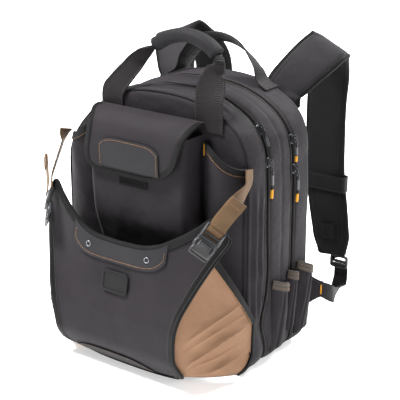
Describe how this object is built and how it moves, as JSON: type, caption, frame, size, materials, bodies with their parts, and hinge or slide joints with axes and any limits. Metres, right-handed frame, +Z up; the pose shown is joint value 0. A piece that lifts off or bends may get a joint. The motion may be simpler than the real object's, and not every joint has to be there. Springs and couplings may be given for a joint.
{
  "type": "tool backpack",
  "caption": "Arch-topped tool backpack in zipped layers, with a gusseted front pocket held by buckled straps, a flap pocket, side pockets, carry handles and padded shoulder straps.",
  "frame": {"origin": "middle of the foot of the whole pack, on the floor", "axes": "+X to the viewer's right when facing the front pocket, +Y from the front pocket towards the wearer's back, +Z up"},
  "size_m": [0.3852, 0.4166, 0.5135],
  "materials": {
    "nylon": "matt charcoal coated nylon, plain weave",
    "nylon_dark": "darker matt nylon and padded cloth",
    "webbing": "black ribbed webbing and zip tape",
    "mesh": "black air mesh",
    "tan_cloth": "tan coated cloth with soft creases",
    "tan_webbing": "tan woven webbing",
    "plastic": "black moulded plastic",
    "eyelet_metal": "bright pressed metal",
    "badge": "plain black moulded rubber"
  },
  "bodies": {
    "root": {"front_door": "nylon", "middle_band": "nylon", "rear_tub": "nylon", "front_pocket_panel": "nylon", "centre_pocket": "nylon", "centre_flap": "nylon", "pocket_patch": "nylon_dark", "bottom_patch": "nylon_dark", "flap_patch": "nylon_dark", "pocket_floor": "nylon_dark", "front_zip": "webbing", "rear_zip": "webbing", "front_handle": "webbing", "rear_handle": "webbing", "front_zip_pull_upper": "webbing", "front_zip_pull_lower": "webbing", "rear_zip_pull_upper": "webbing", "rear_zip_pull_lower": "webbing", "back_pad": "mesh", "front_grip": "mesh", "hook_strip": "mesh", "badge": "badge", "front_foot_left": "plastic", "rear_foot_left": "plastic", "buckle_left": "plastic", "ladder_lock_left": "plastic", "eyelet_left": "eyelet_metal", "gusset_left": "tan_cloth", "tan_strap_left": "tan_webbing", "strap_tail_left": "tan_webbing", "tall_slot_left": "nylon", "side_pocket_front_left": "nylon", "side_pocket_middle_left": "nylon", "side_pocket_rear_left": "nylon", "webbing_tab_left": "webbing", "cross_web_left": "webbing", "lower_webbing_left": "webbing", "shoulder_strap_left": "nylon_dark", "strap_wing_left": "nylon_dark", "front_foot_right": "plastic", "rear_foot_right": "plastic", "buckle_right": "plastic", "ladder_lock_right": "plastic", "eyelet_right": "eyelet_metal", "gusset_right": "tan_cloth", "tan_strap_right": "tan_webbing", "strap_tail_right": "tan_webbing", "tall_slot_right": "nylon", "side_pocket_front_right": "nylon", "side_pocket_middle_right": "nylon", "side_pocket_rear_right": "nylon", "webbing_tab_right": "webbing", "cross_web_right": "webbing", "lower_webbing_right": "webbing", "shoulder_strap_right": "nylon_dark", "strap_wing_right": "nylon_dark"}
  },
  "joints": []
}
